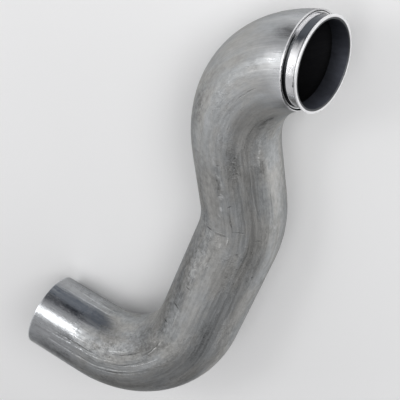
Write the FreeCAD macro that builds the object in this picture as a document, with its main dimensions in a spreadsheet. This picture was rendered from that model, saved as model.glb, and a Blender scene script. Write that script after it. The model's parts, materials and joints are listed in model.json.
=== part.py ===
import FreeCAD, Part
import math
import os

import Sketcher

# Bent exhaust pipe that leads away from a turbocharger.
#
# One length of round steel tube carries three mandrel bends, all bent round the same die and each
# turned to a plane of its own, with straight runs between them. The mouth is trimmed on the first
# bend, square to the turned collar that is seated in it. The other end is a plain square cut.
#
# Every piece is drawn in the collar's frame: the mouth of the tube lies in the plane z = 0, the
# collar's axis is +Z and points out of the pipe, and the first bend turns towards +X. At the end
# the pieces are laid down together as the loose pipe comes to rest on a flat floor.

VECTOR = FreeCAD.Vector
ROTATION = FreeCAD.Rotation
Z_AXIS = VECTOR(0, 0, 1)

SIZES = (
    # tube stock
    ("tube_diameter", 127.0),
    ("tube_wall", 1.65),
    # bend table: the centre line's radius, then run, turn of the plane and bend, in bending order
    ("bend_radius", 152.4),
    ("mouth_trim_angle", 12.0),
    ("bend_a_angle", 84.3),
    ("run_a_length", 86.5),
    ("plane_b_angle", 140.3),
    ("bend_b_angle", 27.8),
    ("run_b_length", 157.6),
    ("plane_c_angle", 27.1),
    ("bend_c_angle", 87.2),
    ("run_c_length", 100.5),
    ("outlet_edge_break", 0.5),
    # collar, with heights measured along its axis from the mouth of the tube
    ("collar_reach", 20.4),
    ("collar_wall", 1.9),
    ("lip_set_back", 1.0),
    ("lip_height", 1.7),
    ("lip_thickness", 2.0),
    ("lip_edge_break", 0.6),
    ("band_taper", 1.1),
    ("groove_width", 4.8),
    ("groove_depth", 1.4),
    ("pilot_depth", 5.0),
    ("pilot_clearance", 0.25),
    ("bore_bevel", 0.7),
    # how the loose pipe lies on the floor
    ("lie_yaw_angle", 33.22),
    ("lie_pitch_angle", 4.57),
    ("lie_roll_angle", -69.38),
)

# Radii of the collar, each one step in from the one before, so that it follows the tube's diameter.
LIP_RADIUS = "Sizes.tube_diameter / 2 - Sizes.lip_set_back"
BAND_RADIUS = LIP_RADIUS + " - Sizes.lip_height"
GROOVE_RADIUS = BAND_RADIUS + " - Sizes.band_taper - Sizes.groove_depth"
BORE_RADIUS = GROOVE_RADIUS + " - Sizes.collar_wall"
PILOT_RADIUS = "Sizes.tube_diameter / 2 - Sizes.tube_wall - Sizes.pilot_clearance"


def make_sheet(doc):
    """Puts every driving size into a spreadsheet, one named cell a row."""
    sheet = doc.addObject("Spreadsheet::Sheet", "Sizes")
    for row, (name, value) in enumerate(SIZES, start=1):
        sheet.set("A%d" % row, name)
        sheet.set("B%d" % row, str(value))
        sheet.setAlias("B%d" % row, name)
    doc.recompute()
    return sheet


def origin_plane(body, role):
    """Returns the body's own origin plane that has this role."""
    for feature in body.Origin.OriginFeatures:
        if feature.Role == role:
            return feature
    raise RuntimeError("no origin plane " + role)


def add_sketch(body, name, role, offset=None):
    """Adds a sketch on one of the body's origin planes, moved by an offset where one is given."""
    sketch = body.newObject("Sketcher::SketchObject", name)
    sketch.AttachmentSupport = [(origin_plane(body, role), "")]
    sketch.MapMode = "FlatFace"
    if offset is not None:
        sketch.AttachmentOffset = offset
    return sketch


def bind(sketch, index, name, expression):
    """Names a sketch dimension and ties it to the sheet."""
    sketch.renameConstraint(index, name)
    sketch.setExpression("Constraints." + name, expression)


class Station:
    """A point on the tube's centre line: where it is, where the tube heads and how it lies there."""

    def __init__(self, point, heading, inward):
        self.point = point
        self.heading = heading
        self.inward = inward

    def placement(self):
        """Frame of the tube's section: x towards the centre of the bend, z back along the tube."""
        back = self.heading.negative()
        side = back.cross(self.inward)
        turn = ROTATION(self.inward, side, back, "ZXY")
        return FreeCAD.Placement(self.point, turn)

    def turned(self, angle):
        """The same point with the plane of the next bend turned about the tube, in degrees."""
        inward = ROTATION(self.heading, angle).multVec(self.inward)
        return Station(self.point, self.heading, inward)

    def after_run(self, length):
        """The station at the far end of a straight run."""
        return Station(self.point + self.heading * length, self.heading, self.inward)

    def after_bend(self, radius, angle):
        """The station at the far end of a bend, in degrees."""
        centre = self.point + self.inward * radius
        turn = ROTATION(self.heading.cross(self.inward), angle)
        return Station(
            centre + turn.multVec(self.point - centre),
            turn.multVec(self.heading),
            turn.multVec(self.inward),
        )


def bend_table(sheet):
    """Returns the tube's stretches in bending order, as (kind, name, size cell, station)."""
    radius = float(sheet.bend_radius)
    trim = math.radians(float(sheet.mouth_trim_angle))
    # The die starts the first bend above the mouth, so that the trimmed mouth is centred at zero.
    start = VECTOR(-radius * (1 - math.cos(trim)), 0, radius * math.sin(trim))
    station = Station(start, VECTOR(0, 0, -1), VECTOR(1, 0, 0))
    full_a = float(sheet.bend_a_angle) + float(sheet.mouth_trim_angle)
    stretches = [("bend", "BendA", "Sizes.bend_a_angle + Sizes.mouth_trim_angle", station)]
    station = station.after_bend(radius, full_a)
    stretches.append(("run", "RunA", "Sizes.run_a_length", station))
    station = station.after_run(float(sheet.run_a_length)).turned(float(sheet.plane_b_angle))
    stretches.append(("bend", "BendB", "Sizes.bend_b_angle", station))
    station = station.after_bend(radius, float(sheet.bend_b_angle))
    stretches.append(("run", "RunB", "Sizes.run_b_length", station))
    station = station.after_run(float(sheet.run_b_length)).turned(float(sheet.plane_c_angle))
    stretches.append(("bend", "BendC", "Sizes.bend_c_angle", station))
    station = station.after_bend(radius, float(sheet.bend_c_angle))
    stretches.append(("run", "RunC", "Sizes.run_c_length", station))
    return stretches, station.after_run(float(sheet.run_c_length))


def section_sketch(body, name, station, with_axis):
    """Draws the tube's ring-shaped section at a station, with the bend's axis beside it."""
    sketch = add_sketch(body, name, "XY_Plane", station.placement())
    centre = VECTOR(0, 0, 0)
    outer = sketch.addGeometry(Part.Circle(centre, Z_AXIS, 60), False)
    inner = sketch.addGeometry(Part.Circle(centre, Z_AXIS, 55), False)
    for circle in (outer, inner):
        sketch.addConstraint(Sketcher.Constraint("Coincident", circle, 3, -1, 1))
    index = sketch.addConstraint(Sketcher.Constraint("Diameter", outer, 120))
    bind(sketch, index, "outside", "Sizes.tube_diameter")
    index = sketch.addConstraint(Sketcher.Constraint("Diameter", inner, 110))
    bind(sketch, index, "inside", "Sizes.tube_diameter - 2 * Sizes.tube_wall")
    if with_axis:
        line = Part.LineSegment(VECTOR(150, -20, 0), VECTOR(150, 20, 0))
        axis = sketch.addGeometry(line, True)
        sketch.addConstraint(Sketcher.Constraint("Symmetric", axis, 1, axis, 2, -1))
        index = sketch.addConstraint(Sketcher.Constraint("DistanceY", axis, 1, axis, 2, 40))
        sketch.renameConstraint(index, "axis_length")
        index = sketch.addConstraint(Sketcher.Constraint("DistanceX", -1, 1, axis, 1, 150))
        bind(sketch, index, "die_radius", "Sizes.bend_radius")
    return sketch


def circle_edges(shape, centre, radius):
    """Names the shape's circular edges that have this centre and radius."""
    names = []
    for number, edge in enumerate(shape.Edges, start=1):
        curve = edge.Curve
        if not hasattr(curve, "Radius") or not hasattr(curve, "Center"):
            continue
        if abs(curve.Radius - radius) < 0.01 and curve.Center.distanceToPoint(centre) < 0.01:
            names.append("Edge%d" % number)
    return names


def make_tube(doc, sheet):
    """The bent tube: bends and straight runs in one piece, with the mouth trimmed square."""
    body = doc.addObject("PartDesign::Body", "BentTube")
    body.Label = "bent_tube"
    stretches, outlet = bend_table(sheet)
    for kind, name, size, station in stretches:
        sketch = section_sketch(body, name + "Section", station, kind == "bend")
        if kind == "bend":
            feature = body.newObject("PartDesign::Revolution", name)
            feature.Profile = sketch
            feature.ReferenceAxis = (sketch, ["Axis0"])
            feature.Reversed = True
            feature.setExpression("Angle", size)
        else:
            feature = body.newObject("PartDesign::Pad", name)
            feature.Profile = sketch
            feature.Reversed = True
            feature.setExpression("Length", size)
        feature.Refine = False
        doc.recompute()

    # The stub above the mouth comes off in the plane z = 0.
    sketch = add_sketch(body, "MouthTrimSection", "XY_Plane")
    circle = sketch.addGeometry(Part.Circle(VECTOR(0, 0, 0), Z_AXIS, 90), False)
    sketch.addConstraint(Sketcher.Constraint("Coincident", circle, 3, -1, 1))
    index = sketch.addConstraint(Sketcher.Constraint("Diameter", circle, 180))
    bind(sketch, index, "clear_of_tube", "Sizes.tube_diameter * 1.3")
    trim = body.newObject("PartDesign::Pocket", "MouthTrim")
    trim.Profile = sketch
    trim.Reversed = True
    trim.setExpression("Length", "Sizes.bend_radius")
    trim.Refine = False
    doc.recompute()

    edges = circle_edges(body.Shape, outlet.point, float(sheet.tube_diameter) / 2)
    edge_break = body.newObject("PartDesign::Chamfer", "OutletEdgeBreak")
    edge_break.Base = (trim, edges)
    edge_break.setExpression("Size", "Sizes.outlet_edge_break")
    doc.recompute()
    return body


def make_collar(doc, sheet):
    """The turned collar: lip, tapered band, groove and the pilot that sits in the tube's mouth."""
    body = doc.addObject("PartDesign::Body", "Collar")
    body.Label = "inlet_collar"
    sketch = add_sketch(body, "CollarProfile", "XZ_Plane")
    # Corners of the half section as (radius, height), from the bore at the front round the outside.
    corners = (
        ("bore_front", 56, 20, BORE_RADIUS, "Sizes.collar_reach"),
        ("lip_front", 63, 20, LIP_RADIUS, "Sizes.collar_reach"),
        ("lip_rear", 63, 17, LIP_RADIUS, "Sizes.collar_reach - Sizes.lip_thickness"),
        ("band_front", 61, 17, BAND_RADIUS, "Sizes.collar_reach - Sizes.lip_thickness"),
        ("band_rear", 59, 3, BAND_RADIUS + " - Sizes.band_taper", "Sizes.groove_width"),
        ("groove_front", 58, 3, GROOVE_RADIUS, "Sizes.groove_width"),
        ("groove_rear", 58, 0, GROOVE_RADIUS, "0"),
        ("pilot_front", 61, 0, PILOT_RADIUS, "0"),
        ("pilot_rear", 61, -5, PILOT_RADIUS, "-Sizes.pilot_depth"),
        ("bore_rear", 56, -5, BORE_RADIUS, "-Sizes.pilot_depth"),
    )
    count = len(corners)
    lines = []
    for number in range(count):
        first = corners[number]
        second = corners[(number + 1) % count]
        segment = Part.LineSegment(VECTOR(first[1], first[2], 0), VECTOR(second[1], second[2], 0))
        lines.append(sketch.addGeometry(segment, False))
    for number in range(count):
        following = lines[(number + 1) % count]
        sketch.addConstraint(Sketcher.Constraint("Coincident", lines[number], 2, following, 1))
    for number, (name, radius, height, radius_size, height_size) in enumerate(corners):
        line = lines[number]
        index = sketch.addConstraint(Sketcher.Constraint("DistanceX", -1, 1, line, 1, radius))
        bind(sketch, index, name + "_radius", radius_size)
        if height_size == "0":
            sketch.addConstraint(Sketcher.Constraint("PointOnObject", line, 1, -1))
        elif height > 0:
            index = sketch.addConstraint(Sketcher.Constraint("DistanceY", -1, 1, line, 1, height))
            bind(sketch, index, name + "_height", height_size)
        else:
            index = sketch.addConstraint(Sketcher.Constraint("DistanceY", line, 1, -1, 1, -height))
            bind(sketch, index, name + "_height", height_size.lstrip("-"))
    turned = body.newObject("PartDesign::Revolution", "CollarTurned")
    turned.Profile = sketch
    turned.ReferenceAxis = (sketch, ["V_Axis"])
    turned.Angle = 360
    doc.recompute()

    front = VECTOR(0, 0, float(sheet.collar_reach))
    lip_rear = front - VECTOR(0, 0, float(sheet.lip_thickness))
    lip_radius = sketch.getDatum("lip_front_radius").Value
    bore_radius = sketch.getDatum("bore_front_radius").Value
    edges = circle_edges(body.Shape, front, lip_radius)
    edges += circle_edges(body.Shape, lip_rear, lip_radius)
    edge_break = body.newObject("PartDesign::Chamfer", "LipEdgeBreak")
    edge_break.Base = (turned, edges)
    edge_break.setExpression("Size", "Sizes.lip_edge_break")
    doc.recompute()

    edges = circle_edges(body.Shape, front, bore_radius)
    bevel = body.newObject("PartDesign::Chamfer", "BoreBevel")
    bevel.Base = (edge_break, edges)
    bevel.setExpression("Size", "Sizes.bore_bevel")
    doc.recompute()
    return body


def lay_down(doc, sheet, bodies):
    """Lays the pieces on the floor, together, with the origin under the middle of their box."""
    turn = ROTATION(float(sheet.lie_yaw_angle), float(sheet.lie_pitch_angle), float(sheet.lie_roll_angle))
    for body in bodies:
        body.Placement = FreeCAD.Placement(VECTOR(0, 0, 0), turn)
    doc.recompute()
    box = FreeCAD.BoundBox()
    for body in bodies:
        box.add(body.Shape.optimalBoundingBox(False, False))
    shift = VECTOR(-(box.XMin + box.XMax) / 2, -(box.YMin + box.YMax) / 2, -box.ZMin)
    for body in bodies:
        body.Placement = FreeCAD.Placement(shift, turn)
    doc.recompute()


def check(doc, sheet, tube, bodies):
    """Stops on a failed object or an unsound shape, and on a tube that lost metal on its way."""
    for item in doc.Objects:
        if "Invalid" in item.State or "Error" in item.State:
            raise RuntimeError("%s failed: %s" % (item.Name, item.State))
    for body in bodies:
        shape = body.Shape
        if shape.isNull() or not shape.isValid() or len(shape.Solids) != 1:
            raise RuntimeError(body.Label + " is not one sound solid")
    outside = float(sheet.tube_diameter)
    inside = outside - 2 * float(sheet.tube_wall)
    section = math.pi * (outside ** 2 - inside ** 2) / 4
    angles = float(sheet.bend_a_angle) + float(sheet.bend_b_angle) + float(sheet.bend_c_angle)
    runs = float(sheet.run_a_length) + float(sheet.run_b_length) + float(sheet.run_c_length)
    length = math.radians(angles) * float(sheet.bend_radius) + runs
    ratio = tube.Shape.Volume / (section * length)
    print("tube %.1f mm long, volume %.4f of section times length" % (length, ratio))
    if abs(ratio - 1) > 0.02:
        raise RuntimeError("the tube's volume is off its section times its length")


def main():
    doc = FreeCAD.newDocument("TurboPipe")
    sheet = make_sheet(doc)
    tube = make_tube(doc, sheet)
    collar = make_collar(doc, sheet)
    bodies = (tube, collar)
    lay_down(doc, sheet, bodies)
    check(doc, sheet, tube, bodies)
    os.makedirs("parts", exist_ok=True)
    for body in bodies:
        body.Shape.exportStep("parts/" + body.Label + ".step")
        box = body.Shape.BoundBox
        size = (box.XLength, box.YLength, box.ZLength)
        print("%s: volume %.0f mm3, box %.1f x %.1f x %.1f mm" % ((body.Label, body.Shape.Volume) + size))


main()
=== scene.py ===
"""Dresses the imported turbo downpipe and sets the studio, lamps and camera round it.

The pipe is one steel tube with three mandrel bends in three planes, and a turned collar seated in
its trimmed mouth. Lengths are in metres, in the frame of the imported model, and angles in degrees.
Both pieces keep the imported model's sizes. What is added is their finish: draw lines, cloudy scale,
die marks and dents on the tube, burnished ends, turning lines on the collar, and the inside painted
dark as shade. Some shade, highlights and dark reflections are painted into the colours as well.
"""

import json
import logging
import math
from dataclasses import dataclass, field
from enum import Enum

import bmesh
import bpy
from mathutils import Euler, Matrix, Vector

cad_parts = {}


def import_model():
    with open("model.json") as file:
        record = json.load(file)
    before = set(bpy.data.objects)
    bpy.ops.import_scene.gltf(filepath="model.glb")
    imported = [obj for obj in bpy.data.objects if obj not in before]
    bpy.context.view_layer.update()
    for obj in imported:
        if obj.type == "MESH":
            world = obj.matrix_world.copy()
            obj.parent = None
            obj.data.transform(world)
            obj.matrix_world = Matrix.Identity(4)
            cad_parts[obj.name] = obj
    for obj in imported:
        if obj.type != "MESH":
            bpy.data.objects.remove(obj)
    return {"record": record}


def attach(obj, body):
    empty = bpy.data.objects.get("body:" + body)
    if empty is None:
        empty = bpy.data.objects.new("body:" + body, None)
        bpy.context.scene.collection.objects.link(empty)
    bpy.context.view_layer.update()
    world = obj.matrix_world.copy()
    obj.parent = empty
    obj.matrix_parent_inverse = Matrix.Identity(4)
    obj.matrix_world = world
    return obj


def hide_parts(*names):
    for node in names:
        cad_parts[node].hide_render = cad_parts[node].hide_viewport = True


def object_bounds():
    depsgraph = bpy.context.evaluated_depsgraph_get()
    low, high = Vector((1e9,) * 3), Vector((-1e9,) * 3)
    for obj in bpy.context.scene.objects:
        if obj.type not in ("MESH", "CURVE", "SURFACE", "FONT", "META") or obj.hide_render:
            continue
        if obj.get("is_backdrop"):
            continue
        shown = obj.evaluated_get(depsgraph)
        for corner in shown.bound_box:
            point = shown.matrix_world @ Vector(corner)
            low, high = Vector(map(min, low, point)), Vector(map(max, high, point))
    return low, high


log = logging.getLogger("downpipe")

Pair = tuple[float, float]
Triple = tuple[float, float, float]
Rows = tuple["Mark", ...]
Socket = bpy.types.NodeSocket
Operand = Socket | float
Material = bpy.types.Material
Edge = bmesh.types.BMEdge
Mesh = bmesh.types.BMesh

UNBENT = "unbent"  # The attribute that holds a point's place on the unbent tube.
MARK_DEPTH = 0.03  # How far a mark reaches through the surface.
SHARP_ANGLE = 50.0  # Edges that turn more than this are shaded as sharp.
TOUCH = 1e-6  # Corners closer than this are one.
NEAR = 1e-5  # How far a corner may be from the circle it lies on.


class Stretch(Enum):
    """What the bender does over one stretch of tube."""

    BEND = "bend"
    RUN = "run"


class Face(Enum):
    """Which finish a face of a piece takes."""

    OUTSIDE = 0
    INSIDE = 1


@dataclass(frozen=True)
class Station:
    """A point on the tube's centre line: its place, the way it heads, and the side it bends to."""

    point: Vector
    heading: Vector
    inward: Vector

    def section(self) -> Matrix:
        """Returns the section's frame: x to the inside of the bend, z along the tube."""
        turn = Matrix((self.inward, self.heading.cross(self.inward), self.heading)).transposed()
        return Matrix.Translation(self.point) @ turn.to_4x4()

    def turned(self, angle: float) -> "Station":
        """Returns the same point, with the plane of the next bend turned by that many degrees."""
        turn = Matrix.Rotation(math.radians(angle), 3, self.heading)
        return Station(self.point, self.heading, turn @ self.inward)

    def after_run(self, length: float) -> "Station":
        """Returns the station at the far end of a straight run of that length."""
        return Station(self.point + self.heading * length, self.heading, self.inward)

    def after_bend(self, radius: float, angle: float) -> "Station":
        """Follows a bend.

        Args:
            radius: the die's radius.
            angle: the angle of the bend, in degrees.

        Returns:
            The station at the far end of the bend.
        """
        centre = self.point + self.inward * radius
        turn = Matrix.Rotation(math.radians(angle), 3, self.heading.cross(self.inward))
        point = centre + turn @ (self.point - centre)
        return Station(point, turn @ self.heading, turn @ self.inward)


@dataclass(frozen=True)
class Leg:
    """One stretch of the tube, where it starts, and how far its plane has turned."""

    kind: Stretch
    amount: float
    start: Station
    along: float
    turned: float


@dataclass(frozen=True)
class Mark:
    """A line, smudge or dent, by its place on the unbent tube. A dent's strength is its depth."""

    angle: float
    along: float
    across: float
    length: float
    strength: float
    tilt: float = 0.0


def marks_of(*rows: tuple[float, ...]) -> Rows:
    """Makes marks of rows of their numbers."""
    return tuple(Mark(*row) for row in rows)


@dataclass(frozen=True)
class Noise:
    """A cloudy pattern: its changes per metre each way, its finer layers and their strength."""

    scale: Triple
    detail: float
    rough: float


class Recipe:
    """The nodes of a material or of the room, with short ways to add and join them."""

    def __init__(self, owner: Material | bpy.types.World, radius: float = 0.0) -> None:
        """Starts with the nodes that Blender puts there.

        Args:
            owner: the material or the world.
            radius: the radius that marks lie on.
        """
        owner.use_nodes = True
        self.owner = owner
        self.radius = radius
        self.nodes = owner.node_tree.nodes
        self.links = owner.node_tree.links

    def join(self, value: Operand | Triple, socket: Socket) -> None:
        """Links a socket to another, or sets its number.

        Args:
            value: a socket, a number or three numbers.
            socket: the input that takes it.
        """
        if isinstance(value, Socket):
            self.links.new(value, socket)
        else:
            socket.default_value = value

    def node(self, kind: str, *values: Operand | Triple, **settings: str) -> bpy.types.Node:
        """Adds a node.

        Args:
            kind: Blender's name for it.
            values: what its first inputs take.
            settings: its own settings.

        Returns:
            The node.
        """
        node = self.nodes.new(kind)
        for name, setting in settings.items():
            setattr(node, name, setting)
        for value, socket in zip(values, node.inputs):
            self.join(value, socket)
        return node

    def unbent(self) -> Socket:
        """Returns the place of a point on the piece as if the tube were straight."""
        return self.node("ShaderNodeAttribute", attribute_name=UNBENT).outputs["Vector"]

    def maths(
        self, operation: str, first: Operand, second: Operand = 0.0, third: Operand = 0.0
    ) -> Socket:
        """Returns a sum of up to three numbers, by Blender's name for it."""
        return self.node("ShaderNodeMath", first, second, third, operation=operation).outputs[0]

    def times(self, first: Operand, second: Operand) -> Socket:
        """Multiplies two numbers."""
        return self.maths("MULTIPLY", first, second)

    def plus(self, base: Operand, more: Operand, share: Operand = 1.0) -> Socket:
        """Adds a share of one number to another."""
        return self.maths("MULTIPLY_ADD", more, share, base)

    def most(self, first: Operand, second: Operand) -> Socket:
        """Takes the larger of two numbers."""
        return self.maths("MAXIMUM", first, second)

    def rest(self, share: Socket) -> Socket:
        """Returns what a share leaves of 1."""
        return self.maths("SUBTRACT", 1.0, share)

    def centred(self, pattern: Socket) -> Socket:
        """Shifts a pattern so that its middle is 0."""
        return self.maths("SUBTRACT", pattern, 0.5)

    def vector(self, operation: str, first: Socket, second: Socket | Triple) -> Socket:
        """Returns a sum of two vectors, by Blender's name for it."""
        return self.node("ShaderNodeVectorMath", first, second, operation=operation).outputs[0]

    def parts(self, vector: Socket) -> tuple[Socket, ...]:
        """Takes a vector apart into its three numbers."""
        return tuple(self.node("ShaderNodeSeparateXYZ", vector).outputs)

    def texture(self, kind: str, place: Socket, scale: Triple) -> bpy.types.Node:
        """Adds a texture on stretched coordinates.

        Args:
            kind: Blender's name for the node.
            place: the coordinates.
            scale: how often it changes per metre, each way.

        Returns:
            The node.
        """
        node = self.node(kind, self.vector("MULTIPLY", place, scale))
        node.inputs["Scale"].default_value = 1.0
        return node

    def noise(self, place: Socket, noise: Noise, output: str = "Fac") -> Socket:
        """Adds a cloudy pattern.

        Args:
            place: the coordinates.
            noise: the pattern.
            output: the node's output to use.

        Returns:
            A number round 0.5, or three for Color.
        """
        node = self.texture("ShaderNodeTexNoise", place, noise.scale)
        node.inputs["Detail"].default_value = noise.detail
        node.inputs["Roughness"].default_value = noise.rough
        return node.outputs[output]

    def wander(self, place: Socket, noise: Noise, reach: float) -> Socket:
        """Lets coordinates wander a little, so that marks on them look drawn by hand."""
        shift = self.vector("SUBTRACT", self.noise(place, noise, "Color"), (0.5, 0.5, 0.5))
        return self.vector("ADD", place, self.vector("MULTIPLY", shift, (reach, reach, reach)))

    def fade(
        self, value: Socket, low: float, high: float, start: float = 0.0, end: float = 1.0
    ) -> Socket:
        """Returns a soft step from start to end, while the value goes from low to high."""
        step = (value, low, high, start, end)
        return self.node("ShaderNodeMapRange", *step, interpolation_type="SMOOTHSTEP").outputs[0]

    def sway(self, pattern: Socket, amount: float, spread: float = 0.18) -> Socket:
        """Turns a pattern round 0.5 into one that swings by an amount each way."""
        return self.fade(pattern, 0.5 - spread, 0.5 + spread, -amount, amount)

    def mark(self, place: Socket, mark: Mark) -> Socket:
        """Adds a long soft spot that lies along the tube, or at a slant.

        Args:
            place: the coordinates on the unbent tube.
            mark: the mark.

        Returns:
            1 in the mark's middle, 0 outside.
        """
        turn, radius = math.radians(mark.angle), self.radius
        node = self.node("ShaderNodeTexGradient", place, gradient_type="SPHERICAL")
        mapping = node.texture_mapping
        mapping.vector_type = "TEXTURE"
        mapping.translation = (radius * math.cos(turn), radius * math.sin(turn), mark.along)
        mapping.rotation = (math.radians(mark.tilt), 0.0, turn)
        mapping.scale = (MARK_DEPTH, mark.across, mark.length)
        return node.outputs["Fac"]

    def marks(self, place: Socket, marks: Rows) -> Socket:
        """Adds up several marks, each strongest in its middle.

        Args:
            place: the coordinates on the unbent tube.
            marks: the marks.

        Returns:
            The sum.
        """
        total: Operand = 0.0
        for mark in marks:
            total = self.plus(total, self.mark(place, mark), mark.strength)
        return total

    def scaled(self, colour: Socket | Triple, shade: Socket) -> Socket:
        """Makes a colour lighter or darker.

        Args:
            colour: the colour.
            shade: the factor.

        Returns:
            The new colour.
        """
        node = self.node("ShaderNodeVectorMath", colour, operation="SCALE")
        self.join(shade, node.inputs["Scale"])
        return node.outputs["Vector"]

    def blend(self, share: Operand, first: Socket | Triple, second: Socket | Triple) -> Socket:
        """Mixes two colours.

        Args:
            share: how much of the second colour.
            first: the colour at 0.
            second: the colour at 1.

        Returns:
            The mixed colour.
        """
        node = self.node("ShaderNodeMix", share, data_type="RGBA")
        for value, socket in ((first, node.inputs[6]), (second, node.inputs[7])):
            self.join(value if isinstance(value, Socket) else (*value, 1.0), socket)
        return node.outputs[2]

    def shader(
        self,
        colour: Socket,
        rough: Socket,
        height: Socket,
        relief: float,
        metallic: float = 1.0,
        edge: float = 1.0,
    ) -> Material:
        """Ends the recipe.

        Args:
            colour: the base colour.
            rough: the roughness.
            height: the height of the surface's fine relief, in metres.
            relief: how strongly the relief shows.
            metallic: how metallic it is.
            edge: how bright it is seen at a glancing angle, where plain metal is 1.

        Returns:
            The material.
        """
        bump = self.node("ShaderNodeBump", relief, 1.0)
        self.join(height, bump.inputs["Height"])
        for name, value in (
            ("Base Color", colour),
            ("Roughness", rough),
            ("Metallic", metallic),
            ("Specular Tint", (edge, edge, edge, 1.0)),
            ("Normal", bump.outputs["Normal"]),
        ):
            self.join(value, self.nodes["Principled BSDF"].inputs[name])
        return self.owner


@dataclass(frozen=True)
class TubeSteelFinish:
    """Dull aluminised tube, cloudy and streaked along its length, burnished at both ends.

    Pairs are where a fade starts and ends: from the mouth, or from the outlet for cut_edge,
    dark_reflection_start and burnished_outlet.
    """

    radius: float
    length: float
    die_radius: float
    mouth_trim: float
    warm_grey: Triple = (0.424, 0.421, 0.408)
    cool_grey: Triple = (0.400, 0.410, 0.414)
    burnished_grey: Triple = (0.50, 0.515, 0.535)
    # The colour of the painted highlight along the mouth's rim.
    rim_highlight_grey: Triple = (0.95, 0.95, 0.96)
    # The colour of the painted dark reflection at the outlet.
    dark_reflection_colour: Triple = (0.11, 0.125, 0.15)
    edge_tint: float = 0.6
    relief_strength: float = 0.8
    burnished_outlet: Pair = (0.115, 0.065)
    burnished_mouth: Pair = (-0.006, 0.060)
    rim_highlight_reach: Pair = (0.0012, 0.0024)
    # Where the painted highlight along the outlet's rim fades in.
    cut_edge: Pair = (0.0020, 0.0006)
    dark_reflection_start: Pair = (0.175, 0.105)
    calm_end: Pair = (0.02, 0.19)
    course: Noise = Noise((70.0, 70.0, 45.0), 3.0, 0.5)
    course_reach: float = 0.0045
    clouds: Noise = Noise((22.0, 22.0, 10.0), 4.0, 0.6)
    tint: Noise = Noise((34.0, 34.0, 13.0), 4.0, 0.65)
    mottle: Noise = Noise((170.0, 170.0, 120.0), 5.0, 0.72)
    lines: Noise = Noise((260.0, 260.0, 9.0), 4.0, 0.65)
    hairs: Noise = Noise((700.0, 700.0, 26.0), 3.0, 0.7)
    pebbles: Noise = Noise((420.0, 420.0, 300.0), 2.0, 0.6)
    scabs: Noise = Noise((38.0, 38.0, 16.0), 4.0, 0.65)
    speck_scale: Triple = (210.0, 210.0, 150.0)
    line_height: float = 0.00012
    hair_height: float = 0.00005
    mark_height: float = 0.0003
    mottle_height: float = 0.0004
    pebble_height: float = 0.0011
    speck_height: float = -0.00025
    # Lines and smudges darker than the tube.
    dark_marks: Rows = marks_of(
        (33, 0.098, 0.003, 0.034, 0.7, -6), (29.5, 0.087, 0.0022, 0.008, 1.6, -8),
        (81, 0.066, 0.0013, 0.04, 1.2, 2), (42, 0.15, 0.0015, 0.07, 1, -2),
        (12, 0.285, 0.0014, 0.04, 1), (68.5, 0.312, 0.0015, 0.024, 1.5, 3),
        (59, 0.331, 0.013, 0.0014, 1.5, 3), (104, 0.3425, 0.01, 0.0028, 1.4, -8),
        (79, 0.269, 0.008, 0.0016, 1, -4), (68, 0.287, 0.005, 0.0016, 1.5, 30),
        (76, 0.222, 0.004, 0.0018, 1.2, 10), (110, 0.21, 0.012, 0.0016, 0.8, 8),
        (45, 0.372, 0.0026, 0.06, 0.8, -3), (22, 0.404, 0.0026, 0.0026, 1.4),
        (56, 0.37, 0.0032, 0.0032, 1.2), (34, 0.344, 0.009, 0.0014, 1, -6),
        (106, 0.507, 0.011, 0.0018, 1.2, -4), (98, 0.466, 0.008, 0.0016, 1.2, 5),
        (112, 0.545, 0.01, 0.0018, 1.1, 7), (78, 0.76, 0.0014, 0.11, 1.3),
        (72.5, 0.7, 0.0014, 0.08, 1.2, 1), (86, 0.68, 0.0014, 0.06, 1.2, 1),
        (100, 0.68, 0.0014, 0.05, 1.1, 2), (84, 0.344, 0.011, 0.0032, 1.6, 6),
        (38, 0.255, 0.0016, 0.05, 0.6), (93.5, 0.785, 0.0016, 0.07, 1.2),
        (97, 0.62, 0.0014, 0.035, 0.6, 5), (112, 0.795, 0.0085, 0.0009, 1.4, 1),
        (228, 0.18, 0.0015, 0.09, 1.2, 1), (300, 0.3, 0.0014, 0.07, 1.2, -2),
        (205, 0.56, 0.0015, 0.06, 1.2, 2), (318, 0.64, 0.0016, 0.08, 1.2, -1),
        (250, 0.337, 0.014, 0.0014, 1.2, 3), (180, 0.333, 0.014, 0.0014, 1, -3),
    )
    # Rubbed lines that catch the light.
    bright_marks: Rows = marks_of(
        (75, 0.745, 0.0016, 0.12, 1.2), (88, 0.775, 0.0014, 0.1, 1.1, 1),
        (96, 0.61, 0.0016, 0.035, 1.1, 5), (159, 0.81, 0.0016, 0.075, 1.3),
        (169, 0.79, 0.0014, 0.07, 0.8), (80, 0.292, 0.0034, 0.0055, 1.2, 20),
        (77, 0.271, 0.005, 0.0065, 1, -25), (85, 0.3405, 0.01, 0.0014, 1.2, 6),
        (73, 0.35, 0.0014, 0.013, 1.2), (81, 0.366, 0.0036, 0.013, 0.7, 8),
        (83, 0.305, 0.0022, 0.006, 0.8, 30), (79, 0.238, 0.0044, 0.008, 0.6, 25),
        (70, 0.69, 0.0016, 0.08, 1, 1), (83, 0.66, 0.0014, 0.07, 0.9, -1),
        (104, 0.7, 0.0014, 0.05, 0.9, 2), (75, 0.252, 0.0045, 0.018, 0.6, 8),
        (81, 0.215, 0.005, 0.022, 0.6, -5), (24, 0.2, 0.003, 0.045, 1),
        (240, 0.5, 0.0016, 0.09, 1.1), (285, 0.15, 0.0018, 0.07, 1.1, 2),
        (20, 0.76, 0.0016, 0.09, 1.1),
    )
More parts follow.
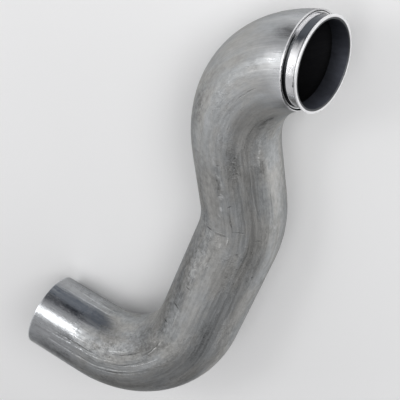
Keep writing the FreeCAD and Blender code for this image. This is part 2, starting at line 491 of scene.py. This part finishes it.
    # Darker, pitted patches.
    stains: Rows = marks_of(
        (57, 0.216, 0.015, 0.05, 1.1), (80, 0.245, 0.01, 0.06, 0.5), (20, 0.225, 0.009, 0.035, 0.6),
        (26, 0.385, 0.014, 0.04, 0.6), (47, 0.535, 0.018, 0.06, 1),
        (145, -0.005, 0.013, 0.023, 1.55), (35, 0.11, 0.012, 0.06, 0.7, -5),
        (205, 0.3, 0.016, 0.06, 0.9), (275, 0.43, 0.018, 0.07, 0.9, 3),
        (330, 0.18, 0.015, 0.05, 0.8), (225, 0.64, 0.016, 0.06, 0.9),
    )
    # Broad soft patches of painted shade where the strength is above 0, and of painted light below
    # it.
    painted_shade_and_light: Rows = marks_of(
        (118, 0.42, 0.04, 0.15, 0.5), (114, 0.56, 0.04, 0.13, 0.45),
        (104, 0.675, 0.034, 0.09, 0.35), (122, 0.19, 0.02, 0.11, 0.25),
        (40, 0.27, 0.02, 0.13, 0.25), (57, 0.81, 0.02, 0.11, 0.55), (44, 0.7, 0.02, 0.09, 0.3),
        (146, 0.002, 0.018, 0.03, 0.25), (22, 0.285, 0.016, 0.07, 0.3),
        (58, 0.42, 0.018, 0.08, 0.22), (88, 0.775, 0.016, 0.06, 0.25),
        (146, 0.065, 0.03, 0.07, -0.25), (64, 0.035, 0.042, 0.095, -0.5),
        (80, 0.14, 0.026, 0.11, -0.35), (50, 0.14, 0.04, 0.06, -0.2),
        (82, 0.002, 0.04, 0.024, -0.5), (114, 0.026, 0.014, 0.024, 0.22),
        (121, 0.003, 0.012, 0.018, -0.16), (166, 0.016, 0.009, 0.045, -0.22),
        (36, 0.18, 0.03, 0.06, -0.25), (129, 0.85, 0.01, 0.1, -0.35),
        (10, 0.37, 0.026, 0.13, -0.35), (357, 0.2, 0.034, 0.15, -0.45),
        (31, 0.53, 0.02, 0.07, -0.3), (112, 0.3, 0.02, 0.07, 0.25), (133, 0.76, 0.014, 0.05, 0.35),
        (96, 0.805, 0.008, 0.05, 0.3), (80, 0.595, 0.014, 0.07, -0.3),
        (24, 0.625, 0.02, 0.07, 0.25), (16, 0.48, 0.02, 0.06, -0.3),
    )
    # Painted dark reflection: streaky dark bands beside the outlet's highlight, and fainter ones
    # round the tube.
    dark_reflection_bands: Rows = marks_of(
        (144, 0.85, 0.027, 0.14, 1.05), (142, 0.775, 0.018, 0.09, 0.95),
        (242, 0.86, 0.018, 0.085, 0.9), (330, 0.855, 0.015, 0.085, 0.9),
    )

    def material(self) -> Material:
        """Mixes the finish of the tube's outside."""
        return TubeSteelRecipe(self).mixed()

    def from_outlet(self, reach: Pair) -> Pair:
        """Turns a pair of distances from the outlet into distances from the mouth."""
        return self.length - reach[0], self.length - reach[1]


class TubeSteelRecipe(Recipe):
    """Mixes the tube's outside from patterns that its colour, roughness and relief share."""

    def __init__(self, look: TubeSteelFinish) -> None:
        """Lays out the shared patterns.

        Args:
            look: the finish to mix.
        """
        super().__init__(bpy.data.materials.new("tube_steel_outside"), look.radius)
        self.look = look
        self.place = self.unbent()
        across, _, self.along = self.parts(self.place)
        self.drawn = self.wander(self.place, look.course, look.course_reach)
        self.clouds = self.noise(self.place, look.clouds)
        self.mottle = self.noise(self.place, look.mottle)
        self.lines = self.noise(self.drawn, look.lines)
        self.hairs = self.noise(self.place, look.hairs)

        ragged = self.centred(self.lines)
        outlet = self.plus(self.along, ragged, 0.10)
        self.outlet = self.fade(outlet, *look.from_outlet(look.burnished_outlet))
        mouth = self.plus(self.along, ragged, 0.03)
        self.mouth = self.fade(mouth, *look.burnished_mouth, 0.9, 0.0)
        self.burnished = self.most(self.outlet, self.mouth)
        # Painted highlight: a thin bright line along the mouth's rounded rim.
        self.rim_highlight = self.fade(self.behind_mouth(across), *look.rim_highlight_reach, 1.0, 0.0)
        self.calm = self.fade(self.along, *look.calm_end, 0.4, 1.0)

        dark = self.fade(self.marks(self.drawn, look.dark_marks), 0.0, 0.95)
        self.dark = self.times(dark, self.fade(self.mottle, 0.42, 0.58, 0.25, 1.0))
        bright = self.fade(self.marks(self.drawn, look.bright_marks), 0.0, 0.8)
        self.bright = self.times(bright, self.fade(self.mottle, 0.40, 0.58, 0.3, 1.0))
        self.stains = self.marks(self.drawn, look.stains)
        scabby = self.fade(self.noise(self.place, look.scabs), 0.50, 0.62, 0.0, 0.55)
        self.pitted = self.most(scabby, self.stains)
        cells = self.texture("ShaderNodeTexVoronoi", self.drawn, look.speck_scale)
        specks = self.fade(cells.outputs["Distance"], 0.10, 0.26, 1.0, 0.0)
        self.specks = self.times(specks, self.times(self.pitted, self.rest(self.burnished)))

    def mixed(self) -> Material:
        """Returns the material, with its colour, roughness and relief."""
        surface = (self.colour(), self.rough(), self.height(), self.look.relief_strength)
        return self.shader(*surface, edge=self.look.edge_tint)

    def behind_mouth(self, across: Socket) -> Socket:
        """Measures how far a point of the first bend lies behind the trimmed mouth.

        Args:
            across: its distance from the centre line, towards the inside of the bend.

        Returns:
            The distance.
        """
        die, trim = self.look.die_radius, math.radians(self.look.mouth_trim)
        turn = self.maths("ADD", self.maths("DIVIDE", self.along, die), trim)
        turn = self.maths("MINIMUM", turn, math.pi / 2)
        reach = self.maths("SUBTRACT", die, across)
        level = die * math.sin(trim)
        return self.maths("SUBTRACT", self.times(reach, self.maths("SINE", turn)), level)

    def dark_reflection(self) -> Socket:
        """Lays out a painted dark reflection, in streaky dark bands, at the outlet.

        Returns:
            How much of the painted dark reflection there is.
        """
        dark_reflection = self.marks(self.drawn, self.look.dark_reflection_bands)
        for pattern, share in ((self.mottle, 0.8), (self.hairs, 1.2), (self.lines, 1.5)):
            dark_reflection = self.plus(dark_reflection, self.centred(pattern), share)
        ends = self.fade(self.along, *self.look.from_outlet(self.look.dark_reflection_start))
        dark_reflection = self.times(self.fade(dark_reflection, 0.0, 1.0), ends)
        return self.times(dark_reflection, self.fade(self.mottle, 0.34, 0.66, 0.78, 0.96))

    def colour(self) -> Socket:
        """Mixes the colour.

        Returns:
            The colour.
        """
        grain = self.sway(self.mottle, 0.19, 0.16)
        grain = self.times(grain, self.fade(self.pitted, 0.0, 0.5, 0.6, 1.0))
        shade = self.plus(1.0, self.plus(grain, self.sway(self.clouds, 0.15)), self.calm)
        look = self.look
        for pattern, share in (
            (self.sway(self.lines, 0.06), 1.0),
            (self.sway(self.hairs, 0.07), 1.0),
            (self.stains, -0.36),
            # Broad patches of painted shade and painted light.
            (self.marks(self.drawn, look.painted_shade_and_light), -1.0),
            (self.dark, -0.60),
            (self.bright, 0.70),
            (self.specks, -0.55),
            # Painted highlight along the outlet's rim.
            (self.fade(self.along, *look.from_outlet(look.cut_edge)), 0.5),
        ):
            shade = self.plus(shade, pattern, share)
        tint = self.fade(self.noise(self.place, look.tint), 0.38, 0.62)
        colour = self.blend(tint, look.warm_grey, look.cool_grey)
        colour = self.blend(self.times(self.burnished, 0.7), colour, look.burnished_grey)
        # Painted dark reflection over the outlet.
        colour = self.blend(self.dark_reflection(), self.scaled(colour, shade), look.dark_reflection_colour)
        # Painted highlight along the mouth's rim.
        return self.blend(self.times(self.rim_highlight, 0.9), colour, look.rim_highlight_grey)

    def rough(self) -> Socket:
        """Mixes the roughness.

        Returns:
            The roughness.
        """
        rough = self.fade(self.clouds, 0.3, 0.7, 0.62, 0.50)
        rough = self.plus(rough, self.sway(self.lines, 0.08, 0.2))
        rough = self.plus(rough, self.sway(self.mottle, -0.07, 0.2), self.calm)
        rough = self.plus(rough, self.bright, -0.20)
        ends = self.plus(self.fade(self.mouth, 0.0, 1.0, 1.0, 0.52), self.outlet, -0.58)
        return self.times(rough, ends)

    def height(self) -> Socket:
        """Mixes the fine relief.

        Returns:
            The height of the surface, in metres.
        """
        look = self.look
        pebbles = self.times(self.noise(self.place, look.pebbles), self.pitted)
        height = self.times(self.mottle, look.mottle_height)
        height = self.plus(height, pebbles, look.pebble_height)
        height = self.plus(height, self.specks, look.speck_height)
        height = self.times(height, self.times(self.rest(self.burnished), self.calm))
        for pattern, share in (
            (self.lines, look.line_height),
            (self.hairs, look.hair_height),
            (self.dark, -look.mark_height),
            (self.bright, look.mark_height),
        ):
            height = self.plus(height, pattern, share)
        return height


@dataclass(frozen=True)
class InsideFinish:
    """The inside of the pipe, painted dark as shade."""

    name: str
    grey: Triple
    rough: float
    metallic: float
    clouds: Noise = Noise((30.0, 30.0, 12.0), 4.0, 0.6)
    lines: Noise = Noise((260.0, 260.0, 30.0), 3.0, 0.6)
    line_height: float = 0.00006
    relief_strength: float = 0.5

    def material(self) -> Material:
        """Mixes the finish of a surface inside the pipe.

        Returns:
            The material.
        """
        mix = Recipe(bpy.data.materials.new(self.name))
        place = mix.unbent()
        lines = mix.noise(place, self.lines)
        shade = mix.fade(mix.noise(place, self.clouds), 0.3, 0.7, 0.75, 1.25)
        rough = mix.fade(lines, 0.3, 0.7, self.rough - 0.08, self.rough + 0.08)
        height = mix.times(lines, self.line_height)
        return mix.shader(
            mix.scaled(self.grey, shade), rough, height, self.relief_strength, self.metallic
        )


@dataclass(frozen=True)
class TurnedSteelFinish:
    """Bright steel with the fine rings that a lathe tool leaves.

    Pairs are where a fade starts and ends, by height or radius in the mouth's frame.
    """

    radius: float = 0.060
    grey: Triple = (0.80, 0.80, 0.81)
    navy: Triple = (0.06, 0.07, 0.085)
    lip_grey: Triple = (0.95, 0.95, 0.96)
    # The colour of the painted shade in the groove and under the lip, also of the nicks.
    shade_and_nick_grey: Triple = (0.03, 0.035, 0.04)
    rough: float = 0.16
    relief_strength: float = 0.5
    groove_radius: Pair = (0.0588, 0.0594)
    shoulder_radius: Pair = (0.0602, 0.0608)
    seat_height: Pair = (0.0002, 0.0008)
    band_start: Pair = (0.0044, 0.0052)
    band_end: Pair = (0.0172, 0.0184)
    crevice_start: Pair = (0.0159, 0.0170)
    crevice_end: Pair = (0.0181, 0.0184)
    lip_start: Pair = (0.0182, 0.0186)
    rings: Noise = Noise((900.0, 900.0, 1.0), 3.0, 0.7)
    clouds: Noise = Noise((60.0, 60.0, 120.0), 4.0, 0.65)
    ring_height: float = 0.00003
    nick_height: float = -0.0003
    # A painted highlight at the top of the groove, which also lifts the painted shade there.
    painted_groove_highlight: Mark = Mark(185.0, 0.002, 0.045, 0.020, 1.0)
    # A rougher patch on the band, also lightened as a painted highlight where the lamp's highlight
    # falls.
    hazy_sheen_band: Mark = Mark(238.0, 0.0105, 0.016, 0.040, 1.0)
    # Painted dark reflections on the band, as navy spots.
    collar_dark_reflections: Rows = marks_of(
        (197, 0.008, 0.046, 0.04, 1.6), (183, 0.01, 0.03, 0.03, 1), (20, 0.008, 0.03, 0.03, 1.2),
        (110, 0.008, 0.022, 0.03, 1.1),
    )
    nicks: Rows = marks_of(
        (263, 0.0174, 0.0024, 0.0012, 3), (271, 0.0172, 0.0044, 0.0016, 3),
        (274.5, 0.0163, 0.0018, 0.0014, 3), (150, 0.0172, 0.003, 0.0016, 3),
        (65, 0.0172, 0.0026, 0.0016, 3),
    )

    def material(self) -> Material:
        """Mixes the finish of the collar's outside.

        Returns:
            The material.
        """
        mix = Recipe(bpy.data.materials.new("turned_steel_outside"), self.radius)
        place = mix.unbent()
        across, up, along = mix.parts(place)
        radius = mix.maths("SQRT", mix.plus(mix.times(up, up), across, across))
        ring = mix.node("ShaderNodeCombineXYZ", radius, along).outputs[0]
        rings = mix.noise(ring, self.rings)
        clouds = mix.noise(place, self.clouds)

        # Painted dark reflection on the band, streaked by the turning rings and clouds.
        navy = mix.marks(place, self.collar_dark_reflections)
        navy = mix.plus(navy, mix.centred(rings), 1.4)
        navy = mix.plus(navy, mix.centred(clouds), 0.8)
        navy = mix.times(mix.fade(navy, 0.15, 0.80), mix.fade(along, *self.band_end, 1.0, 0.0))
        navy = mix.times(navy, mix.fade(along, *self.band_start, 0.0, 0.95))
        nicks = mix.fade(mix.marks(place, self.nicks), 0.2, 0.8)
        hazy_sheen = mix.mark(place, self.hazy_sheen_band)

        seated = mix.fade(along, *self.seat_height, 1.0, 0.0)
        shoulder = mix.fade(radius, *self.shoulder_radius)
        # Painted shade in the groove behind the band, and under the shoulder of the seat.
        groove = mix.fade(radius, *self.groove_radius, 1.0, 0.0)
        # Painted highlight at the top of the groove.
        groove_highlight = mix.fade(mix.mark(place, self.painted_groove_highlight), 0.1, 0.5)
        front = mix.most(mix.times(seated, shoulder), mix.fade(along, *self.lip_start))
        front = mix.most(front, mix.times(groove_highlight, groove))
        # Painted shadow: a thin dark line on the band just under the lip.
        crevice = mix.fade(along, *self.crevice_start, 0.0, 0.75)
        crevice = mix.times(crevice, mix.fade(along, *self.crevice_end, 1.0, 0.0))
        under = mix.times(seated, mix.rest(shoulder))
        groove = mix.times(mix.most(groove, under), mix.rest(groove_highlight))
        crevice = mix.most(crevice, mix.most(nicks, mix.times(groove, 0.92)))

        shade = mix.plus(mix.fade(clouds, 0.3, 0.7, 0.9, 1.04), mix.sway(rings, 0.06, 0.2))
        # Painted highlight on the rougher patch of the band.
        colour = mix.scaled(self.grey, mix.plus(shade, hazy_sheen, 0.3))
        colour = mix.blend(navy, colour, self.navy)
        colour = mix.blend(front, colour, self.lip_grey)
        # Painted shade in the groove and under the lip, with the dark nicks.
        colour = mix.blend(crevice, colour, self.shade_and_nick_grey)
        rough = mix.fade(rings, 0.3, 0.7, self.rough - 0.05, self.rough + 0.08)
        rough = mix.plus(rough, mix.fade(clouds, 0.3, 0.7, 0.06, 0.0))
        rough = mix.plus(mix.plus(rough, front, 0.22), hazy_sheen, 0.20)
        height = mix.plus(mix.times(rings, self.ring_height), nicks, self.nick_height)
        return mix.shader(colour, rough, height, self.relief_strength)


@dataclass(frozen=True)
class FloorFinish:
    """Pale, matt studio floor."""

    grey: Triple = (0.85, 0.85, 0.85)
    rough: float = 0.9
    shine: float = 0.1

    def material(self) -> Material:
        """Mixes the floor's finish.

        Returns:
            The material.
        """
        mix = Recipe(bpy.data.materials.new("studio_floor"))
        matt = mix.nodes["Principled BSDF"].inputs
        matt["Base Color"].default_value = (*self.grey, 1.0)
        matt["Roughness"].default_value = self.rough
        matt["Specular IOR Level"].default_value = self.shine
        return mix.owner


def finish_piece(name: str, mesh: Mesh, finishes: list[Material]) -> bpy.types.Object:
    """Turns a bmesh into an object at the origin.

    Args:
        name: the object's name.
        mesh: the shape, in place; it is freed.
        finishes: the materials, in the order of their numbers.

    Returns:
        The object, linked to the scene.
    """
    for face in mesh.faces:
        face.smooth = True
    for edge in mesh.edges:
        if len(edge.link_faces) == 2 and edge.calc_face_angle(0.0) > math.radians(SHARP_ANGLE):
            edge.smooth = False
    data = bpy.data.meshes.new(name)
    mesh.to_mesh(data)
    mesh.free()
    for finish in finishes:
        data.materials.append(finish)
    piece = bpy.data.objects.new(name, data)
    bpy.context.scene.collection.objects.link(piece)
    log.info("%s: %d vertices, %d faces", name, len(data.vertices), len(data.polygons))
    return piece


def break_sharp(mesh: Mesh, edges: list[Edge], size: float, facets: int) -> None:
    """Breaks sharp edges, to a width and with a number of facets."""
    bmesh.ops.bevel(
        mesh, geom=edges, offset=size, affect="EDGES", segments=facets, profile=0.5, material=-1
    )


@dataclass
class BentTube:
    """The tube: three bends on one die, the runs between them, and the trimmed mouth.

    The pairs outer_steps and inner_steps say how finely a wall is made: the most that it turns
    between rings in a bend, and the most that rings are apart on a straight run.
    """

    seat: Matrix
    outside: float = 0.0635
    wall: float = 0.00165
    die_radius: float = 0.1524
    mouth_trim: float = 12.0
    bend_a: float = 84.3
    run_a: float = 0.0865
    plane_b: float = 140.3
    bend_b: float = 27.8
    run_b: float = 0.1576
    plane_c: float = 27.1
    bend_c: float = 87.2
    run_c: float = 0.1005
    around: int = 144
    outer_steps: Pair = (1.2, 0.004)
    inner_steps: Pair = (4.0, 0.02)
    rim_rounding: float = 0.0004
    rim_facets: int = 2
    rim_reach: float = 0.0002
    dent_steepness: float = 2.0
    past_weight: float = 10.0
    dents: Rows = marks_of(
        (57, 0.216, 0.02, 0.03, 0.0004), (83, 0.345, 0.012, 0.01, 0.0005),
        (47, 0.535, 0.02, 0.03, 0.0005), (98, 0.466, 0.018, 0.009, 0.0003),
        (30, 0.092, 0.014, 0.016, 0.0004), (250, 0.34, 0.03, 0.012, 0.0003),
        (212, 0.6, 0.022, 0.026, 0.0005), (322, 0.15, 0.02, 0.02, 0.0004),
    )
    legs: list[Leg] = field(init=False)
    length: float = field(init=False)

    def __post_init__(self) -> None:
        """Follows the bender's table from the mouth to the outlet."""
        die, trim = self.die_radius, math.radians(self.mouth_trim)
        start = Vector((die * (math.cos(trim) - 1), 0.0, die * math.sin(trim)))
        station = Station(start, Vector((0.0, 0.0, -1.0)), Vector((1.0, 0.0, 0.0)))
        along = -die * trim
        turned = 0.0
        self.legs = []
        for turn, bend, run in (
            (0.0, self.bend_a + self.mouth_trim, self.run_a),
            (self.plane_b, self.bend_b, self.run_b),
            (self.plane_c, self.bend_c, self.run_c),
        ):
            station = station.turned(turn)
            turned += turn
            self.legs.append(Leg(Stretch.BEND, bend, station, along, turned))
            station = station.after_bend(die, bend)
            along += die * math.radians(bend)
            self.legs.append(Leg(Stretch.RUN, run, station, along, turned))
            station = station.after_run(run)
            along += run
        self.length = along

    def unbend(self, point: Vector) -> tuple[Vector, Vector]:
        """Finds a point of the wall on the unbent tube.

        Args:
            point: the point, in the mouth's frame.

        Returns:
            Its place on the unbent tube, and the way out from the centre line.
        """
        best = None
        for leg in self.legs:
            start = leg.start
            away = point - start.point
            ahead = away.dot(start.heading)
            inward = away.dot(start.inward)
            sideways = start.heading.cross(start.inward)
            side = away.dot(sideways)
            if leg.kind is Stretch.BEND:
                turn = math.atan2(ahead, self.die_radius - inward)
                inward = self.die_radius - math.hypot(ahead, self.die_radius - inward)
                past = max(-turn, turn - math.radians(leg.amount), 0.0) * self.die_radius
                along = leg.along + turn * self.die_radius
                out = (start.inward * math.cos(turn) - start.heading * math.sin(turn)) * inward
            else:
                past = max(-ahead, ahead - leg.amount, 0.0)
                along = leg.along + ahead
                out = start.inward * inward
            radius = math.hypot(inward, side)
            score = past * self.past_weight + abs(radius - self.outside)
            if best is None or score < best[0]:
                angle = math.atan2(side, inward) + math.radians(leg.turned)
                place = Vector((radius * math.cos(angle), radius * math.sin(angle), along))
                best = (score, place, (out + sideways * side).normalized())
        return best[1:]

    def sweep(self, radius: float, steps: Pair) -> Mesh:
        """Carries a circle along the whole table, and trims it at the mouth.

        Args:
            radius: the circle's radius.
            steps: how finely it is made, in bends and on runs.

        Returns:
            The open shell, in the mouth's frame.
        """
        shell = bmesh.new()
        bmesh.ops.create_circle(
            shell,
            cap_ends=False,
            radius=radius,
            segments=self.around,
            matrix=self.legs[0].start.section(),
        )
        edges = shell.edges[:]
        for leg in self.legs:
            start = leg.start
            if leg.kind is Stretch.BEND:
                made = bmesh.ops.spin(
                    shell,
                    geom=edges,
                    cent=start.point + start.inward * self.die_radius,
                    axis=start.heading.cross(start.inward),
                    angle=math.radians(leg.amount),
                    steps=math.ceil(leg.amount / steps[0]),
                    use_merge=False,
                    use_duplicate=False,
                )
                edges = [item for item in made["geom_last"] if isinstance(item, Edge)]
                continue
            count = math.ceil(leg.amount / steps[1])
            for _ in range(count):
                made = bmesh.ops.extrude_edge_only(shell, edges=edges)["geom"]
                edges = [item for item in made if isinstance(item, Edge)]
                edges = [edge for edge in edges if all(corner in made for corner in edge.verts)]
                corners = [item for item in made if isinstance(item, bmesh.types.BMVert)]
                bmesh.ops.translate(shell, vec=start.heading * (leg.amount / count), verts=corners)
        bmesh.ops.bisect_plane(
            shell,
            geom=shell.verts[:] + shell.edges[:] + shell.faces[:],
            dist=TOUCH,
            plane_co=(0.0, 0.0, 0.0),
            plane_no=(0.0, 0.0, 1.0),
            clear_outer=True,
        )
        return shell

    def build(self, finishes: list[Material]) -> bpy.types.Object:
        """Builds the tube.

        Args:
            finishes: the outside's and the inside's material.

        Returns:
            The tube's object.
        """
        outer = self.sweep(self.outside, self.outer_steps)
        self.press_dents(outer)
        inner = self.sweep(self.outside - self.wall, self.inner_steps)
        for face in inner.faces:
            face.material_index = Face.INSIDE.value
        data = bpy.data.meshes.new("inner_wall")
        inner.to_mesh(data)
        inner.free()
        outer.from_mesh(data)
        bpy.data.meshes.remove(data)
        self.close_rims(outer)
        bmesh.ops.recalc_face_normals(outer, faces=outer.faces[:])
        layer = outer.verts.layers.float_vector.new(UNBENT)
        for corner in outer.verts:
            corner[layer] = self.unbend(corner.co)[0]
        outer.transform(self.seat)
        return finish_piece("bent_tube_dressed", outer, finishes)

    def close_rims(self, shell: Mesh) -> None:
        """Closes the cut face of the wall at the mouth and the outlet, and rounds its edges.

        Args:
            shell: the outer and the inner wall.
        """
        outlet = self.legs[-1].start.after_run(self.run_c)
        for point, axis in ((Vector(), Vector((0.0, 0.0, 1.0))), (outlet.point, outlet.heading)):
            rims = []
            for edge in shell.edges:
                heights = [(corner.co - point).dot(axis) for corner in edge.verts]
                if edge.is_boundary and all(abs(height) < self.rim_reach for height in heights):
                    rims.append(edge)
            bmesh.ops.triangle_fill(
                shell, use_beauty=True, use_dissolve=False, edges=rims, normal=axis
            )
            rims = [edge for edge in rims if edge.is_valid]
            break_sharp(shell, rims, self.rim_rounding, self.rim_facets)

    def press_dents(self, shell: Mesh) -> None:
        """Presses the shallow dents into the outside of the tube.

        Args:
            shell: the outer wall.
        """
        places = []
        for dent in self.dents:
            turn = math.radians(dent.angle)
            round_tube = Vector((math.cos(turn), math.sin(turn), 0.0)) * self.outside
            places.append((dent, round_tube + Vector((0.0, 0.0, dent.along))))
        for corner in shell.verts:
            place, out = self.unbend(corner.co)
            depth = 0.0
            for dent, centre in places:
                away = place - centre
                across = math.hypot(away.x, away.y) / dent.across
                ahead = away.z / dent.length
                share = math.exp(-self.dent_steepness * (across * across + ahead * ahead))
                depth += dent.strength * share
            corner.co -= out * depth


@dataclass
class InletCollar:
    """The turned collar: lip, tapered band, groove and the pilot in the tube's mouth."""

    seat: Matrix
    tube_outside: float = 0.0635
    reach: float = 0.0204
    wall: float = 0.0019
    lip_set_back: float = 0.001
    lip_height: float = 0.0017
    lip_thickness: float = 0.002
    band_taper: float = 0.0011
    groove_width: float = 0.0048
    groove_depth: float = 0.0014
    pilot_depth: float = 0.005
    pilot_radius: float = 0.0616
    lip_rounding: float = 0.0006
    lip_facets: int = 3
    bore_bevel: float = 0.0007
    bore_margin: float = 0.00005
    around: int = 256

    def build(self, finishes: list[Material]) -> bpy.types.Object:
        """Turns the collar.

        Args:
            finishes: the outside's and the bore's material.

        Returns:
            The collar's object.
        """
        lip = self.tube_outside - self.lip_set_back
        band = lip - self.lip_height
        groove = band - self.band_taper - self.groove_depth
        bore = groove - self.wall
        back = self.reach - self.lip_thickness
        half_section = (
            (bore, self.reach),
            (lip, self.reach),
            (lip, back),
            (band, back),
            (band - self.band_taper, self.groove_width),
            (groove, self.groove_width),
            (groove, 0.0),
            (self.pilot_radius, 0.0),
            (self.pilot_radius, -self.pilot_depth),
            (bore, -self.pilot_depth),
        )
        ring = bmesh.new()
        corners = [ring.verts.new((radius, 0.0, height)) for radius, height in half_section]
        edges = [ring.edges.new(ends) for ends in zip(corners, corners[1:] + corners[:1])]
        bmesh.ops.spin(
            ring,
            geom=corners + edges,
            cent=(0.0, 0.0, 0.0),
            axis=(0.0, 0.0, 1.0),
            angle=math.tau,
            steps=self.around,
            use_merge=True,
            use_duplicate=False,
        )
        bmesh.ops.remove_doubles(ring, verts=ring.verts[:], dist=TOUCH)
        bmesh.ops.recalc_face_normals(ring, faces=ring.faces[:])
        self.break_edges(ring, lip, (self.reach, back), self.lip_rounding, self.lip_facets)
        self.break_edges(ring, bore, (self.reach,), self.bore_bevel, 1)
        for face in ring.faces:
            middle = face.calc_center_median()
            inside = math.hypot(middle.x, middle.y) < bore + self.bore_margin
            face.material_index = (Face.INSIDE if inside else Face.OUTSIDE).value
        layer = ring.verts.layers.float_vector.new(UNBENT)
        for corner in ring.verts:
            corner[layer] = corner.co
        ring.transform(self.seat)
        return finish_piece("inlet_collar_dressed", ring, finishes)

    def break_edges(
        self, ring: Mesh, radius: float, heights: tuple[float, ...], size: float, facets: int
    ) -> None:
        """Breaks the circular edges of one radius.

        Args:
            ring: the collar.
            radius: the radius of the edges.
            heights: the heights of the edges.
            size: how wide the broken edge is.
            facets: how many facets it has.
        """
        edges = []
        for edge in ring.edges:
            first, last = (corner.co for corner in edge.verts)
            on_circle = all(abs(math.hypot(co.x, co.y) - radius) < NEAR for co in (first, last))
            at_height = any(abs(first.z - height) < NEAR for height in heights)
            if on_circle and at_height and abs(first.z - last.z) < TOUCH:
                edges.append(edge)
        break_sharp(ring, edges, size, facets)


@dataclass(frozen=True)
class Softbox:
    """A wide, soft lamp that faces the pipe."""

    name: str
    towards: Triple
    distance: float
    width: float
    height: float
    power: float

    def hang(self, aim: Vector) -> None:
        """Hangs the lamp.

        Args:
            aim: the point it faces.
        """
        lamp = bpy.data.lights.new(self.name, "AREA")
        lamp.shape = "RECTANGLE"
        lamp.size = self.width
        lamp.size_y = self.height
        lamp.energy = self.power
        holder = bpy.data.objects.new(self.name, lamp)
        way = Vector(self.towards).normalized()
        holder.location = aim + way * self.distance
        holder.rotation_euler = way.to_track_quat("Z", "Y").to_euler()
        bpy.context.scene.collection.objects.link(holder)


@dataclass(frozen=True)
class RoomSide:
    """A side of the room that is dimmer than the rest, and where its soft edge lies."""

    towards: Triple
    edge: Pair
    shade: Triple


@dataclass(frozen=True)
class Studio:
    """The pale floor, the soft room light and the lamps."""

    floor_size: float = 40.0
    aim: Triple = (0.0, 0.0, 0.09)
    room: Triple = (0.60, 0.60, 0.61)
    dim_sides: tuple[RoomSide, ...] = (
        RoomSide((0.35, 0.74, 0.57), (0.15, 0.95), (0.19, 0.19, 0.195)),
        RoomSide((-0.70, -0.70, 0.02), (0.86, 0.97), (0.10, 0.10, 0.11)),
    )
    lamps: tuple[Softbox, ...] = (
        Softbox("key_softbox", (-0.15, -0.61, 0.77), 2.2, 0.85, 0.5, 5.6),
        Softbox("side_softbox", (0.39, -0.82, 0.42), 2.2, 1.35, 0.38, 5.4),
        Softbox("overhead_softbox", (-0.10, -0.05, 0.98), 2.4, 1.0, 1.0, 7.0),
        Softbox("floor_softbox", (-0.70, 0.18, 0.69), 2.6, 1.2, 1.2, 25.0),
        Softbox("fill_softbox", (-0.62, 0.74, 0.28), 5.0, 3.4, 1.2, 30.0),
    )

    def set_up(self) -> None:
        """Lays the floor, lights the room and hangs the lamps."""
        floor = bmesh.new()
        bmesh.ops.create_grid(floor, x_segments=1, y_segments=1, size=self.floor_size / 2)
        finish_piece("studio_floor", floor, [FloorFinish().material()])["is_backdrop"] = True
        self.light_room()
        for lamp in self.lamps:
            lamp.hang(Vector(self.aim))

    def light_room(self) -> None:
        """Sets a soft room light, with its dim sides one over the other."""
        world = bpy.data.worlds.new("studio_room")
        bpy.context.scene.world = world
        mix = Recipe(world)
        place = mix.node("ShaderNodeTexCoord").outputs["Generated"]
        colour = self.room
        for side in self.dim_sides:
            way = Vector(side.towards).normalized()
            facing = mix.node("ShaderNodeVectorMath", place, way, operation="DOT_PRODUCT")
            share = mix.fade(facing.outputs["Value"], *side.edge)
            colour = mix.blend(share, colour, side.shade)
        mix.join(colour, mix.nodes["Background"].inputs["Color"])


@dataclass(frozen=True)
class PhotoCamera:
    """The camera, where the photograph was taken from."""

    place: Triple = (-0.817597, -0.077376, 1.151526)
    ahead: Triple = (0.585649, 0.029123, -0.810041)
    right: Triple = (-0.499539, 0.799982, -0.332399)
    lens: float = 81.0
    sensor: float = 36.0
    nearest: float = 0.05

    def stand(self) -> None:
        """Stands the camera in the scene and makes it the scene's own."""
        data = bpy.data.cameras.new("photo_camera")
        data.lens = self.lens
        data.sensor_width = self.sensor
        data.clip_start = self.nearest
        camera = bpy.data.objects.new("photo_camera", data)
        back = -Vector(self.ahead).normalized()
        right = Vector(self.right).normalized()
        turn = Matrix((right, back.cross(right), back)).transposed()
        camera.matrix_world = Matrix.Translation(self.place) @ turn.to_4x4()
        bpy.context.scene.collection.objects.link(camera)
        bpy.context.scene.camera = camera


def mouth_seat(
    record: dict, lie: Triple = (-69.38, 4.57, 33.22), behind: float = 0.00735
) -> Matrix:
    """Finds where the tube's mouth lies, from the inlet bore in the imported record.

    Args:
        record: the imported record.
        lie: how the loose pipe lies, turned about x, then y, then z, in degrees.
        behind: how far the mouth is behind the middle of the collar's bore.

    Returns:
        The placement of the mouth's frame.
    """
    bore = next(mount for mount in record["mounts"] if mount["name"] == "inlet_bore")
    mouth = Vector(bore["pos_m"]) - Vector(bore["axis"]) * behind
    turn = Euler([math.radians(angle) for angle in lie], "XYZ")
    return Matrix.Translation(mouth) @ turn.to_matrix().to_4x4()


def main() -> None:
    """Builds and dresses the pipe, then sets the studio and the camera."""
    logging.basicConfig(level=logging.INFO, format="%(name)s: %(message)s")
    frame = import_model()
    cad_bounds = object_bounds()
    PhotoCamera().stand()
    seat = mouth_seat(frame["record"])

    tube = BentTube(seat)
    steel = TubeSteelFinish(tube.outside, tube.length, tube.die_radius, tube.mouth_trim)
    # Painted shade: the tube's inside is given a near-black grey.
    inside = InsideFinish("tube_inside", (0.007, 0.007, 0.009), 0.75, 0.2)
    shell = tube.build([steel.material(), inside.material()])
    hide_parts("bent_tube")
    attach(shell, "root")

    # Painted shade: the collar's bore is given a dark bluish grey.
    bore = InsideFinish("collar_bore", (0.054, 0.058, 0.072), 0.55, 0.8)
    collar = InletCollar(seat).build([TurnedSteelFinish().material(), bore.material()])
    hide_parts("inlet_collar")
    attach(collar, "root")

    Studio().set_up()
    bpy.context.scene.view_settings.view_transform = "Standard"
    sizes = [[list(corner) for corner in box] for box in (cad_bounds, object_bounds())]
    for label, box in zip(("solids", "dressed"), sizes):
        log.info("%s: %s", label, box)


if __name__ == "__main__":
    main()
